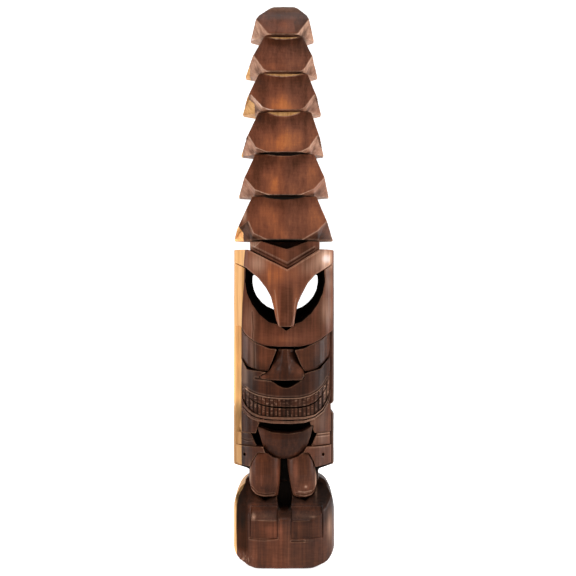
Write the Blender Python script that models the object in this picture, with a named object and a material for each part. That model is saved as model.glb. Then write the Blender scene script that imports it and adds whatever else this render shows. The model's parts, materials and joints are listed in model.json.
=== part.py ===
"""A standing wooden tiki, carved from one log, divided at the carver's stop cuts.

Metres, +Z up. The figure faces -Y and +X is on the viewer's right, so every
"left" and "right" below is as seen from the front.  The origin is the centre of
the base on the ground.  Every element is its own closed body with GAP between it
and its neighbours.
"""

import math

import bmesh
import bpy

# ---------------------------------------------------------------- dimensions
GAP = 0.0003                 # the stop cut left between two neighbouring elements
HEIGHT = 0.915               # ground to the crown of the cap
LOG_HALF_WIDTH = 0.0835      # half of the log's width, side to side
LOG_HALF_DEPTH = 0.070       # half of the log's depth, front to back
LOG_SQUARENESS = 2.5         # 2 is a plain ellipse, larger is squarer
LOG_SIDES = 44               # flats round the log
BASE_SQUARENESS = 3.2        # the base is trimmed flatter in front than the log above

SLAB_FRONT = -0.024          # the plane the carving stands in front of
BROW_FRONT = 0.066           # how far forward each relief stands of the log's axis
EYE_PLATE_FRONT = 0.049
CHEEK_FRONT = 0.057
MUZZLE_FRONT = 0.066
TEETH_FRONT = 0.062
JAW_FRONT = 0.067
ARM_FRONT = 0.058
HAND_FRONT = 0.061
FOREHEAD_FRONT = 0.056

BASE_SHOULDER_TOP = 0.134    # flat top of the base, under the slab
BASE_RIM = 0.004             # rounding of the bottom rim
FOOT_LEDGE = 0.0500          # top of the plinth in front, under the feet
FOOT_BACK = -0.0520          # back wall of the pockets the feet stand in
FOOT_LEFT_X = (-0.0530, -0.0100)
FOOT_RIGHT_X = (0.0115, 0.0615)

# The base's sloping instep in side view, (y, z), from its front edge up to the slab.
INSTEP = (
    (-0.0720, 0.0795), (-0.0660, 0.0830), (-0.0600, 0.0905), (-0.0545, 0.0985),
    (-0.0470, 0.1075), (-0.0380, 0.1190), (-0.0300, 0.1290), (-0.0235, 0.1345),
)
# The tops of the feet in side view: a near-upright toe, a flat facet, then the instep.
FOOT_TOP = ((-0.0720, 0.0770), (-0.0665, 0.0785), (-0.0560, 0.0925), (-0.0510, 0.1018))

# Rounding of the legs: height and how far forward the middle stands.
LEG_SWELL = (
    (0.1000, 0.0400), (0.1090, 0.0470), (0.1180, 0.0520), (0.1320, 0.0565),
    (0.1500, 0.0590), (0.1700, 0.0580), (0.1900, 0.0540), (0.2050, 0.0500),
)
LEG_SIDES = 14               # flats round half a leg
# The belly's bowl: height, half width, how far forward it stands.
BELLY_CENTRE = 0.0020
BELLY_SIDES = 16             # flats round half the belly
BELLY_BOWL = (
    (0.1660, 0.030, 0.0400), (0.1740, 0.038, 0.0480), (0.1800, 0.043, 0.0530), (0.1880, 0.048, 0.0575),
    (0.1980, 0.053, 0.0610), (0.2080, 0.057, 0.0625), (0.2200, 0.061, 0.0615), (0.2400, 0.066, 0.0570),
)
# The nose: height, half width of the keel, reach of the wings, how far forward the keel
# stands, and how steeply the wings fall back from it.
NOSE_RINGS = (
    (0.2980, 0.0060, 0.0440, 0.0680, 0.60), (0.3050, 0.0062, 0.0440, 0.0698, 0.60),
    (0.3120, 0.0058, 0.0430, 0.0695, 0.64), (0.3180, 0.0055, 0.0330, 0.0680, 0.80),
    (0.3320, 0.0050, 0.0235, 0.0625, 1.00), (0.3460, 0.0046, 0.0190, 0.0570, 1.00),
    (0.3600, 0.0044, 0.0180, 0.0530, 1.00),
)
# The same fall in plan: share of the wing's reach, distance back from the keel.
NOSE_FALL = ((0.42, 0.0055), (0.72, 0.0105), (1.00, 0.0185), (1.15, 0.0450))

# The base's rounded shoulder in the front view, from the waist out to the side.
SHOULDER = (
    (0.0580, 0.1341), (0.0651, 0.1309), (0.0700, 0.1270), (0.0740, 0.1220),
    (0.0785, 0.1125), (0.0815, 0.1010), (0.0829, 0.0900), (0.0836, 0.0760),
)
# The base's lower corners, rounded away in the front view.
LOWER_CORNER = (
    (0.0850, 0.0290), (0.0790, 0.0190), (0.0720, 0.0106), (0.0629, 0.0060),
    (0.0500, 0.0015), (0.0430, -0.0010),
)
WAIST_HALF = 0.0570          # the narrow part between the hands and the base
WAIST_TOP = 0.1535
SLAB_TOP = 0.5142

BROW_CENTRE = 0.0020         # the face's centre line, a little right of the axis
EYE_BACK_CENTRE = 0.0012     # the same line where the eye holes come out at the back
TOOTH_COUNT = 22
SLIT_HALF = 0.0012           # half the height of the slot between the teeth, at its middle
LIP_GROOVE_HALF = 0.0009
LIP_GROOVE_DEPTH = 0.0024
HAND_HOLE_RADIUS = 0.0021
HAND_HOLE_DEPTH = 0.014

# Headdress, top to bottom.  Heights of the underside and of the two front corners,
# then left and right x of the neck, the front corners, the ends of the front
# facet's lower edge and the outer tips, then depth at neck, corners and lower edge.
CROWN = (                       # rounding of the cap: left x, right x, depth, height
    (-0.0408, 0.0375, 0.0440, 0.8955), (-0.0326, 0.0310, 0.0395, 0.9020),
    (-0.0228, 0.0228, 0.0320, 0.9105),
)
TIERS = (
    ("headdress_tier_1", 0.8610, 0.8885, (-0.0165, 0.0165), (-0.0458, 0.0410),
     (-0.0240, 0.0215), (-0.0562, 0.0504), (0.024, 0.047, 0.058)),
    ("headdress_tier_2", 0.8005, 0.8280, (-0.0323, 0.0311), (-0.0490, 0.0465),
     (-0.0265, 0.0260), (-0.0645, 0.0562), (0.042, 0.051, 0.060)),
    ("headdress_tier_3", 0.7380, 0.7640, (-0.0408, 0.0390), (-0.0532, 0.0495),
     (-0.0205, 0.0235), (-0.0688, 0.0620), (0.045, 0.054, 0.062)),
    ("headdress_tier_4", 0.6695, 0.6975, (-0.0415, 0.0445), (-0.0575, 0.0545),
     (-0.0255, 0.0245), (-0.0715, 0.0664), (0.047, 0.056, 0.065)),
    ("headdress_tier_5", 0.6005, 0.6300, (-0.0470, 0.0500), (-0.0642, 0.0662),
     (-0.0225, 0.0245), (-0.0757, 0.0752), (0.049, 0.058, 0.067)),
    ("headdress_tier_6", 0.5285, 0.5590, (-0.0515, 0.0530), (-0.0575, 0.0695),
     (-0.0260, 0.0290), (-0.0830, 0.0820), (0.051, 0.060, 0.069)),
)
# Where a chamfer bends on its way to the lower edge, (x, z), left and right.
CHAMFER_BENDS = (
    None,
    ((-0.0330, 0.8050), (0.0330, 0.8050)),
    ((-0.0339, 0.7430), (0.0339, 0.7430)),
    ((-0.0452, 0.6775), (0.0404, 0.6775)),
    ((-0.0469, 0.6095), (0.0492, 0.6110)),
    ((-0.0490, 0.5395), (0.0549, 0.5440)),
)
# Extra corner on the flank of the lowest tier, left: (x, half depth, z).
FLANK_CORNER = (-0.0690, 0.0400, 0.5600)
NECK_HALF = 0.0568           # the neck between the headdress and the brow
NECK_DEPTH = 0.0500

WOOD = (0.20, 0.07, 0.035, 1.0)
SAPWOOD = (0.62, 0.34, 0.15, 1.0)
DARK_WOOD = (0.07, 0.028, 0.018, 1.0)
BONE_WOOD = (0.12, 0.05, 0.025, 1.0)

# ---------------------------------------------------------------- outlines (x, z)
BROW = (
    (-0.0900, 0.5142), (-0.0900, 0.4945), (-0.0790, 0.4925), (-0.0612, 0.4837), (-0.0419, 0.4676),
    (-0.0290, 0.4515), (-0.0209, 0.4370), (-0.0170, 0.4210), (-0.0125, 0.4000),
    (-0.0085, 0.3890), (0.0160, 0.3890), (0.0190, 0.4100), (0.0225, 0.4273),
    (0.0290, 0.4418), (0.0386, 0.4596), (0.0499, 0.4724), (0.0660, 0.4821),
    (0.0795, 0.4905), (0.0900, 0.4950), (0.0900, 0.5142), (0.0580, 0.5142), (0.0056, 0.4820),
    (-0.0575, 0.5142),
)
FOREHEAD = (
    (-0.0555, 0.5290), (-0.0555, 0.5060), (0.0056, 0.4740), (0.0580, 0.5060),
    (0.0580, 0.5290), (0.0434, 0.5290), (0.0050, 0.5151), (-0.0400, 0.5290),
)
EYE_PLATE = (
    (-0.0900, 0.5050), (-0.0900, 0.3915), (-0.0705, 0.3890), (-0.0640, 0.3775),
    (-0.0530, 0.3680), (-0.0420, 0.3608),
    (-0.0290, 0.3575), (-0.0060, 0.3560), (0.0260, 0.3560), (0.0450, 0.3600),
    (0.0600, 0.3680), (0.0740, 0.3780), (0.0900, 0.3880), (0.0900, 0.5050), (0.0030, 0.4650),
)
EYE_FRONT = (
    (0.0640, 0.4880), (0.0655, 0.4620), (0.0620, 0.4430), (0.0540, 0.4255),
    (0.0420, 0.4090), (0.0270, 0.3960), (0.0085, 0.3910), (0.0130, 0.4200),
    (0.0200, 0.4410), (0.0300, 0.4620), (0.0450, 0.4780),
)
EYE_BACK = (
    (0.0535, 0.4730), (0.0538, 0.4610), (0.0518, 0.4495), (0.0470, 0.4390),
    (0.0400, 0.4300), (0.0310, 0.4225), (0.0150, 0.4150), (0.0150, 0.4260),
    (0.0215, 0.4400), (0.0305, 0.4550), (0.0440, 0.4690),
)
CHEEK_LEFT = (
    (-0.0105, 0.3700), (-0.0121, 0.3500), (-0.0162, 0.3400), (-0.0196, 0.3310), (-0.0232, 0.3221),
    (-0.0250, 0.3168), (-0.0356, 0.3170), (-0.0440, 0.3190), (-0.0510, 0.3215), (-0.0590, 0.3248),
    (-0.0655, 0.3310), (-0.0696, 0.3385), (-0.0696, 0.3900),
)
CHEEK_RIGHT = (
    (0.0168, 0.3700), (0.0180, 0.3495), (0.0226, 0.3383), (0.0275, 0.3270), (0.0318, 0.3180),
    (0.0345, 0.3158), (0.0437, 0.3173), (0.0550, 0.3213), (0.0647, 0.3286), (0.0728, 0.3400),
    (0.0755, 0.3520), (0.0755, 0.3900),
)
NOSE = (
    (-0.0085, 0.3525), (-0.0100, 0.3485), (-0.0135, 0.3399), (-0.0174, 0.3302), (-0.0209, 0.3215),
    (-0.0258, 0.3160), (-0.0355, 0.3117), (-0.0403, 0.3076), (-0.0355, 0.3042), (-0.0226, 0.3031),
    (0.0020, 0.3026), (0.0200, 0.3028), (0.0294, 0.3034), (0.0335, 0.3090), (0.0335, 0.3150),
    (0.0293, 0.3222), (0.0234, 0.3351), (0.0182, 0.3450), (0.0158, 0.3525),
)
NOSTRILS = (                 # black undercut below the nose
    (-0.0240, 0.3046), (-0.0160, 0.3000), (-0.0080, 0.2945), (-0.0010, 0.2917), (0.0060, 0.2912),
    (0.0130, 0.2935), (0.0220, 0.2990), (0.0295, 0.3046),
)
# The four lines round the mouth, left to right.
LIP_LINE = (
    (-0.0691, 0.2956), (-0.0627, 0.2876), (-0.0546, 0.2820), (-0.0418, 0.2772), (-0.0257, 0.2743),
    (-0.0096, 0.2727), (0.0064, 0.2723), (0.0257, 0.2731), (0.0418, 0.2764), (0.0546, 0.2828),
    (0.0643, 0.2916), (0.0707, 0.3021), (0.0755, 0.3165),
)
BITE_LINE = (
    (-0.0682, 0.2860), (-0.0620, 0.2785), (-0.0546, 0.2735), (-0.0482, 0.2680), (-0.0354, 0.2627),
    (-0.0193, 0.2598), (0.0016, 0.2584), (0.0225, 0.2587), (0.0386, 0.2611), (0.0498, 0.2659),
    (0.0595, 0.2747), (0.0675, 0.2876), (0.0723, 0.3004), (0.0753, 0.3080),
)
GUM_LINE = (
    (-0.0690, 0.2775), (-0.0659, 0.2690), (-0.0611, 0.2603), (-0.0514, 0.2510), (-0.0386, 0.2462),
    (-0.0193, 0.2444), (0.0096, 0.2438), (0.0337, 0.2444), (0.0498, 0.2476), (0.0627, 0.2571),
    (0.0707, 0.2699), (0.0757, 0.2870),
)
CHIN_LINE = (
    (-0.0705, 0.2700), (-0.0680, 0.2560), (-0.0640, 0.2490), (-0.0546, 0.2410), (-0.0418, 0.2362),
    (-0.0193, 0.2337), (0.0096, 0.2329), (0.0337, 0.2345), (0.0498, 0.2394), (0.0643, 0.2490),
    (0.0739, 0.2651), (0.0775, 0.2812),
)
MUZZLE = LIP_LINE + (
    (0.0755, 0.3400), (0.0585, 0.3210), (0.0370, 0.3150), (0.0000, 0.3000), (-0.0300, 0.3160),
    (-0.0600, 0.3200), (-0.0700, 0.3380),
)
UPPER_TEETH = BITE_LINE + LIP_LINE[::-1]
LOWER_TEETH = GUM_LINE + BITE_LINE[::-1]
JAW = CHIN_LINE + GUM_LINE[::-1]
UPPER_ARM_LEFT = (
    (-0.0690, 0.2640), (-0.0695, 0.2400), (-0.0730, 0.2270), (-0.0690, 0.2162), (-0.0455, 0.2162),
    (-0.0400, 0.2330), (-0.0460, 0.2500),
)
UPPER_ARM_RIGHT = (
    (0.0770, 0.2640), (0.0790, 0.2400), (0.0800, 0.2162), (0.0500, 0.2162), (0.0420, 0.2330),
    (0.0480, 0.2500),
)
FOREARM = (
    (-0.0760, 0.2159), (-0.0760, 0.1952), (-0.0440, 0.1952), (-0.0485, 0.2043), (-0.0533, 0.2159),
)
HAND = (
    (-0.0810, 0.1949), (-0.0810, 0.1650), (-0.0500, 0.1610), (-0.0430, 0.1700),
    (-0.0300, 0.1860), (-0.0340, 0.1949),
)
BELLY = (
    (-0.0435, 0.2275), (-0.0386, 0.2115), (-0.0338, 0.1955), (-0.0270, 0.1845),
    (-0.0170, 0.1780), (-0.0020, 0.1745), (0.0097, 0.1745), (0.0225, 0.1793),
    (0.0322, 0.1874), (0.0386, 0.1986), (0.0435, 0.2115), (0.0483, 0.2300),
    (0.0306, 0.2200), (0.0080, 0.2165), (-0.0200, 0.2190),
)
CRESCENT = (                 # black undercut below the middle of the eye plate
    (-0.0420, 0.3612), (-0.0300, 0.3580), (-0.0060, 0.3565), (0.0260, 0.3565), (0.0470, 0.3612),
    (0.0340, 0.3545), (0.0200, 0.3515), (-0.0060, 0.3515), (-0.0240, 0.3540),
)
BRIDGE_SHADOW = ((-0.0065, 0.3900), (0.0145, 0.3900), (0.0040, 0.3822))   # nick below the bridge
LEG_LEFT = (
    (-0.0425, 0.1850), (-0.0518, 0.1696), (-0.0567, 0.1567), (-0.0567, 0.1405),
    (-0.0535, 0.1250), (-0.0470, 0.1165), (-0.0340, 0.1122), (-0.0200, 0.1122),
    (-0.0097, 0.1137), (-0.0081, 0.1235), (-0.0065, 0.1397), (-0.0048, 0.1600), (-0.0048, 0.1850),
)
LEG_RIGHT = (
    (0.0400, 0.1850), (0.0485, 0.1690), (0.0535, 0.1486), (0.0535, 0.1324),
    (0.0502, 0.1215), (0.0454, 0.1150), (0.0356, 0.1115), (0.0240, 0.1118),
    (0.0146, 0.1140), (0.0129, 0.1235), (0.0097, 0.1397), (0.0060, 0.1600), (0.0045, 0.1850),
)
# Wedges cut out of the base under each leg.
UNDER_LEG = (
    ((-0.0460, 0.1170), (-0.0310, 0.1045), (-0.0150, 0.1130)),
    ((0.0170, 0.1125), (0.0355, 0.1050), (0.0450, 0.1155)),
)

# Notches in the silhouette where the face ends and the arms begin.
SIDE_NOTCHES = (
    ((0.0870, 0.2655), (0.0752, 0.2590), (0.0790, 0.2480), (0.0870, 0.2400)),
    ((-0.0870, 0.2655), (-0.0812, 0.2590), (-0.0870, 0.2490)),
)
CROTCH = (
    (-0.0110, 0.1500), (-0.0103, 0.1000), (-0.0080, 0.0950), (-0.0030, 0.0912),
    (0.0050, 0.0912), (0.0100, 0.0950), (0.0125, 0.1000), (0.0130, 0.1500),
)


# ---------------------------------------------------------------- helpers
def clear_scene():
    for obj in list(bpy.data.objects):
        bpy.data.objects.remove(obj, do_unlink=True)


def material(name, colour, roughness):
    mat = bpy.data.materials.new(name)
    mat.use_nodes = True
    shader = mat.node_tree.nodes["Principled BSDF"]
    shader.inputs["Base Color"].default_value = colour
    shader.inputs["Roughness"].default_value = roughness
    shader.inputs["Metallic"].default_value = 0.0
    mat.diffuse_color = colour
    return mat


def new_object(name, bm):
    bmesh.ops.recalc_face_normals(bm, faces=bm.faces)
    mesh = bpy.data.meshes.new(name)
    bm.to_mesh(mesh)
    bm.free()
    obj = bpy.data.objects.new(name, mesh)
    bpy.context.scene.collection.objects.link(obj)
    return obj


def loft(name, rings):
    """Skin a closed body over rings of the same number of points."""
    bm = bmesh.new()
    rows = [[bm.verts.new(point) for point in ring] for ring in rings]
    count = len(rows[0])
    bm.faces.new(rows[0])
    bm.faces.new(rows[-1])
    for lower, upper in zip(rows, rows[1:]):
        for i in range(count):
            j = (i + 1) % count
            bm.faces.new((lower[i], lower[j], upper[j], upper[i]))
    return new_object(name, bm)


def prism(name, outline, y_front, y_back):
    """Extrude an (x, z) outline from front to back."""
    front = [(x, y_front, z) for x, z in outline]
    back = [(x, y_back, z) for x, z in outline]
    return loft(name, (front, back))


def plan_prism(name, outline, z_low, z_high):
    """Extrude an (x, y) outline upwards."""
    low = [(x, y, z_low) for x, y in outline]
    high = [(x, y, z_high) for x, y in outline]
    return loft(name, (low, high))


def side_prism(name, outline, x_low, x_high):
    """Extrude a (y, z) outline across."""
    low = [(x_low, y, z) for y, z in outline]
    high = [(x_high, y, z) for y, z in outline]
    return loft(name, (low, high))


def hull(name, points):
    bm = bmesh.new()
    for point in points:
        bm.verts.new(point)
    result = bmesh.ops.convex_hull(bm, input=bm.verts)
    loose = [g for g in result["geom_interior"] if isinstance(g, bmesh.types.BMVert)]
    bmesh.ops.delete(bm, geom=loose, context="VERTS")
    bmesh.ops.dissolve_limit(bm, angle_limit=0.002, verts=bm.verts, edges=bm.edges)
    return new_object(name, bm)


def log_ring(half_width, half_depth, sides=LOG_SIDES, power=LOG_SQUARENESS):
    """One cross-section of the log: a squared-off ellipse."""
    ring = []
    for i in range(sides):
        t = 2 * math.pi * i / sides
        c = math.cos(t)
        s = math.sin(t)
        x = half_width * math.copysign(abs(c) ** (2 / power), c)
        y = half_depth * math.copysign(abs(s) ** (2 / power), s)
        ring.append((x, y))
    return ring


def log_column(name, half_width, half_depth, z_low, z_high):
    return plan_prism(name, log_ring(half_width, half_depth), z_low, z_high)


def grow(outline, distance):
    """Move every side of an outline outwards by the same distance."""
    area = 0.0
    count = len(outline)
    for i in range(count):
        x0, z0 = outline[i]
        x1, z1 = outline[(i + 1) % count]
        area += x0 * z1 - x1 * z0
    turn = 1.0 if area > 0 else -1.0
    grown = []
    for i in range(count):
        xa, za = outline[i - 1]
        xb, zb = outline[i]
        xc, zc = outline[(i + 1) % count]
        first = (xb - xa, zb - za)
        second = (xc - xb, zc - zb)
        la = math.hypot(*first)
        lb = math.hypot(*second)
        na = (turn * first[1] / la, -turn * first[0] / la)
        nb = (turn * second[1] / lb, -turn * second[0] / lb)
        bisector = (na[0] + nb[0], na[1] + nb[1])
        reach = max(0.35, (1 + na[0] * nb[0] + na[1] * nb[1]))
        grown.append((xb + distance * bisector[0] / reach, zb + distance * bisector[1] / reach))
    return grown


def mirror(outline, centre=0.0):
    return [(2 * centre - x, z) for x, z in outline]


def boolean(target, tool, operation, keep_tool=False):
    """Apply an exact boolean and, unless told otherwise, drop the tool."""
    modifier = target.modifiers.new("boolean", "BOOLEAN")
    modifier.operation = operation
    modifier.solver = "EXACT"
    modifier.object = tool
    graph = bpy.context.evaluated_depsgraph_get()
    result = bpy.data.meshes.new_from_object(target.evaluated_get(graph))
    target.modifiers.clear()
    old = target.data
    target.data = result
    bpy.data.meshes.remove(old)
    if not keep_tool:
        bpy.data.objects.remove(tool, do_unlink=True)
    return target


def tidy(obj):
    """Merge coincident points and drop slivers left by the cuts."""
    bm = bmesh.new()
    bm.from_mesh(obj.data)
    bmesh.ops.remove_doubles(bm, verts=bm.verts, dist=0.00002)
    bmesh.ops.dissolve_degenerate(bm, edges=bm.edges, dist=0.00002)
    bmesh.ops.recalc_face_normals(bm, faces=bm.faces)
    bm.to_mesh(obj.data)
    bm.free()


def finish(obj, mat, smooth_angle=24.0):
    tidy(obj)
    obj.data.materials.clear()
    obj.data.materials.append(mat)
    for polygon in obj.data.polygons:
        polygon.material_index = 0
        polygon.use_smooth = True
    obj.data.set_sharp_from_angle(angle=math.radians(smooth_angle))
    return obj


def relief(name, outline, front, away_from=(), half_width=LOG_HALF_WIDTH - 0.001, power=LOG_SQUARENESS):
    """An outline standing on the slab, its face following the round of the log."""
    body = prism(name, outline, -0.12, SLAB_FRONT - GAP)
    zs = [z for _, z in outline]
    ring = log_ring(half_width, front, power=power)
    boolean(body, plan_prism("round", ring, min(zs) - 0.01, max(zs) + 0.01), "INTERSECT")
    for other in away_from:
        boolean(body, prism("stop_cut", grow(other, GAP), -0.15, 0.15), "DIFFERENCE")
    return body


def hole_cutter(side, outline_front, outline_back):
    """A tapering hole right through the head."""
    front = []
    back = []
    for (xf, zf), (xb, zb) in zip(outline_front, outline_back):
        dx = (xf - xb) * 0.25
        dz = (zf - zb) * 0.25
        front.append((BROW_CENTRE + side * (xf + dx), -0.085, zf + dz))
        back.append((EYE_BACK_CENTRE + side * (xb - dx * 0.2), 0.085, zb - dz * 0.2))
    return loft("eye_hole", (front, back))


def toothed_band(name, outline, front, away_from, groove, groove_depth):
    """A band of teeth: the round of the mouth with upright V cuts between teeth."""
    body = relief(name, outline, front, away_from)
    xs = [x for x, _ in outline]
    first = min(xs)
    pitch = (max(xs) - first) / TOOTH_COUNT
    for i in range(1, TOOTH_COUNT):
        x = first + i * pitch
        ratio = min(abs(x) / (LOG_HALF_WIDTH - 0.001), 0.999)
        depth = front * (1 - ratio ** LOG_SQUARENESS) ** (1 / LOG_SQUARENESS)
        lean = x * 0.02 / LOG_HALF_WIDTH
        notch = (
            (x - groove + lean * 0.1, -depth - 0.002),
            (x + groove + lean * 0.1, -depth - 0.002),
            (x - lean * 0.1, -depth + groove_depth),
        )
        boolean(body, plan_prism("tooth_cut", notch, 0.22, 0.32), "DIFFERENCE")
    return body


# ---------------------------------------------------------------- base, feet and legs
def build_base(mat):
    a = LOG_HALF_WIDTH
    b = LOG_HALF_DEPTH
    rings = []
    for z, inset in ((0.0, BASE_RIM), (BASE_RIM * 0.35, BASE_RIM * 0.4),
                     (BASE_RIM, 0.0006), (BASE_RIM * 1.8, 0.0),
                     (BASE_SHOULDER_TOP, 0.0)):
        ring = log_ring(a - inset, b - inset, power=BASE_SQUARENESS)
        rings.append([(x, y, z) for x, y in ring])
    base = loft("base_block", rings)
    for side in (-1, 1):
        slope = [(side * x, z) for x, z in SHOULDER]
        slope.append((side * (a + 0.0200), SHOULDER[-1][1]))
        slope.append((side * (a + 0.0200), BASE_SHOULDER_TOP + 0.0200))
        slope.append((side * SHOULDER[0][0], BASE_SHOULDER_TOP + 0.0200))
        boolean(base, prism("shoulder", slope, -0.10, 0.10), "DIFFERENCE")
        corner = [(side * x, z) for x, z in LOWER_CORNER]
        corner.append((side * (a + 0.0200), LOWER_CORNER[-1][1]))
        corner.append((side * (a + 0.0200), LOWER_CORNER[0][1]))
        boolean(base, prism("lower_corner", corner, -0.10, 0.10), "DIFFERENCE")
    above = INSTEP + ((-0.0235, 0.20), (-0.1200, 0.20), (-0.1200, INSTEP[0][1]))
    boolean(base, side_prism("instep", above, -0.12, 0.12), "DIFFERENCE")
    for x_low, x_high in (FOOT_LEFT_X, FOOT_RIGHT_X):
        pocket = (
            (x_low - GAP, FOOT_LEDGE),
            (x_high + GAP, FOOT_LEDGE),
            (x_high + GAP, 0.15),
            (x_low - GAP, 0.15),
        )
        boolean(base, prism("pocket", pocket, -0.12, FOOT_BACK), "DIFFERENCE")
    for outline in (LEG_LEFT, LEG_RIGHT, CROTCH) + UNDER_LEG:
        boolean(base, prism("stop_cut", grow(outline, GAP), -0.12, SLAB_FRONT), "DIFFERENCE")
    return finish(base, mat)


def build_foot(name, x_range, mat):
    """A low block let into the base, its toe following the round of the log."""
    outline = (
        (x_range[0], FOOT_LEDGE + GAP),
        (x_range[1], FOOT_LEDGE + GAP),
        (x_range[1], 0.12),
        (x_range[0], 0.12),
    )
    foot = prism(name, outline, -0.12, FOOT_BACK - GAP)
    ring = log_ring(LOG_HALF_WIDTH, LOG_HALF_DEPTH - 0.0004, power=BASE_SQUARENESS)
    boolean(foot, plan_prism("round", ring, 0.02, 0.15), "INTERSECT")
    above = FOOT_TOP + ((-0.0450, 0.20), (-0.1200, 0.20), (-0.1200, FOOT_TOP[0][1]))
    boolean(foot, side_prism("above", above, -0.12, 0.12), "DIFFERENCE")
    return finish(foot, mat)


def build_leg(name, outline, mat):
    """A plump rounded leg, fullest at the knee and tucking under at the ankle."""
    xs = [x for x, _ in outline]
    centre = (min(xs) + max(xs)) / 2
    half = (max(xs) - min(xs)) / 2 + 0.0050
    rings = []
    for z, swell in LEG_SWELL:
        ring = []
        for i in range(LEG_SIDES + 1):
            t = math.pi * i / LEG_SIDES
            across = math.copysign(abs(math.cos(t)) ** 0.85, math.cos(t))
            ring.append((centre + half * across, -0.018 - (swell - 0.018) * math.sin(t) ** 0.75, z))
        ring.append((centre - half, 0.0, z))
        ring.append((centre + half, 0.0, z))
        rings.append(ring)
    body = prism(name, outline, -0.10, SLAB_FRONT - GAP)
    boolean(body, loft("leg_round", rings), "INTERSECT")
    boolean(body, prism("stop_cut", grow(BELLY, GAP), -0.12, 0.12), "DIFFERENCE")
    return finish(body, mat, 35.0)


# ---------------------------------------------------------------- trunk
def build_slab(eye_holes, mat):
    a = LOG_HALF_WIDTH
    slab = log_column("back_slab", a, LOG_HALF_DEPTH, BASE_SHOULDER_TOP + GAP, SLAB_TOP)
    front_off = ((-0.2, -0.2), (0.2, -0.2), (0.2, SLAB_FRONT), (-0.2, SLAB_FRONT))
    boolean(slab, plan_prism("front_off", front_off, 0.0, 1.0), "DIFFERENCE")
    for side in (-1, 1):
        waist = (
            (side * WAIST_HALF, 0.10),
            (side * WAIST_HALF, WAIST_TOP),
            (side * (a - 0.0060), WAIST_TOP + 0.0070),
            (side * (a + 0.0200), WAIST_TOP + 0.0120),
            (side * (a + 0.0200), 0.10),
        )
        boolean(slab, prism("waist", waist, -0.10, 0.10), "DIFFERENCE")
    for notch in SIDE_NOTCHES:
        boolean(slab, prism("notch", notch, -0.10, 0.10), "DIFFERENCE")
    for hole in eye_holes:
        boolean(slab, hole, "DIFFERENCE", keep_tool=True)
    return finish(slab, mat)


def build_belly(mat):
    """A round bowl, fullest just above its middle."""
    body = prism("belly", BELLY, -0.10, SLAB_FRONT - GAP)
    rings = []
    for z, half, front in BELLY_BOWL:
        ring = []
        for i in range(BELLY_SIDES + 1):
            t = math.pi * i / BELLY_SIDES
            ring.append((BELLY_CENTRE + half * math.cos(t), -front * (0.45 + 0.55 * math.sin(t)), z))
        ring.append((BELLY_CENTRE - half, 0.0, z))
        ring.append((BELLY_CENTRE + half, 0.0, z))
        rings.append(ring)
    boolean(body, loft("bowl", rings), "INTERSECT")
    return finish(body, mat, 30.0)


def build_arm(suffix, flip, dark, light):
    def place(outline):
        return mirror(outline) if flip else outline

    shoulder = UPPER_ARM_RIGHT if flip else UPPER_ARM_LEFT
    upper = relief("upper_arm_" + suffix, shoulder, ARM_FRONT, away_from=(JAW, LOWER_TEETH, BELLY))
    fore = relief("forearm_" + suffix, place(FOREARM), ARM_FRONT - 0.003, away_from=(BELLY,))
    hand = relief("hand_" + suffix, place(HAND), HAND_FRONT, away_from=(BELLY, LEG_LEFT, LEG_RIGHT))
    side = 1 if flip else -1
    x = side * 0.0640
    depth = HAND_FRONT * (1 - (abs(x) / (LOG_HALF_WIDTH - 0.001)) ** LOG_SQUARENESS) ** (1 / LOG_SQUARENESS)
    hole = []
    for y in (-depth - 0.010, -depth + HAND_HOLE_DEPTH):
        ring = []
        for i in range(16):
            t = 2 * math.pi * i / 16
            ring.append((x + HAND_HOLE_RADIUS * math.cos(t), y, 0.1810 + HAND_HOLE_RADIUS * math.sin(t)))
        hole.append(ring)
    boolean(hand, loft("drilled_hole", hole), "DIFFERENCE")
    return finish(upper, dark), finish(fore, dark), finish(hand, light)


# ---------------------------------------------------------------- face
def build_brow(mat):
    """Two wings and a keeled bridge in one Y."""
    body = relief("brow_bridge", BROW, BROW_FRONT, half_width=LOG_HALF_WIDTH, power=3.4)
    for side in (-1, 1):
        flank = []
        for along, across, depth in ((0.4600, 0.0300, 0.0003), (0.4600, 0.0340, 0.0006),
                                     (0.3880, 0.0085, 0.0000), (0.3880, 0.0150, 0.0075)):
            for y in (-BROW_FRONT + depth, -BROW_FRONT - 0.010):
                flank.append((BROW_CENTRE + side * across, y, along))
        boolean(body, hull("bridge_flank", flank), "DIFFERENCE")
    return finish(body, mat, 15.0)


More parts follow.
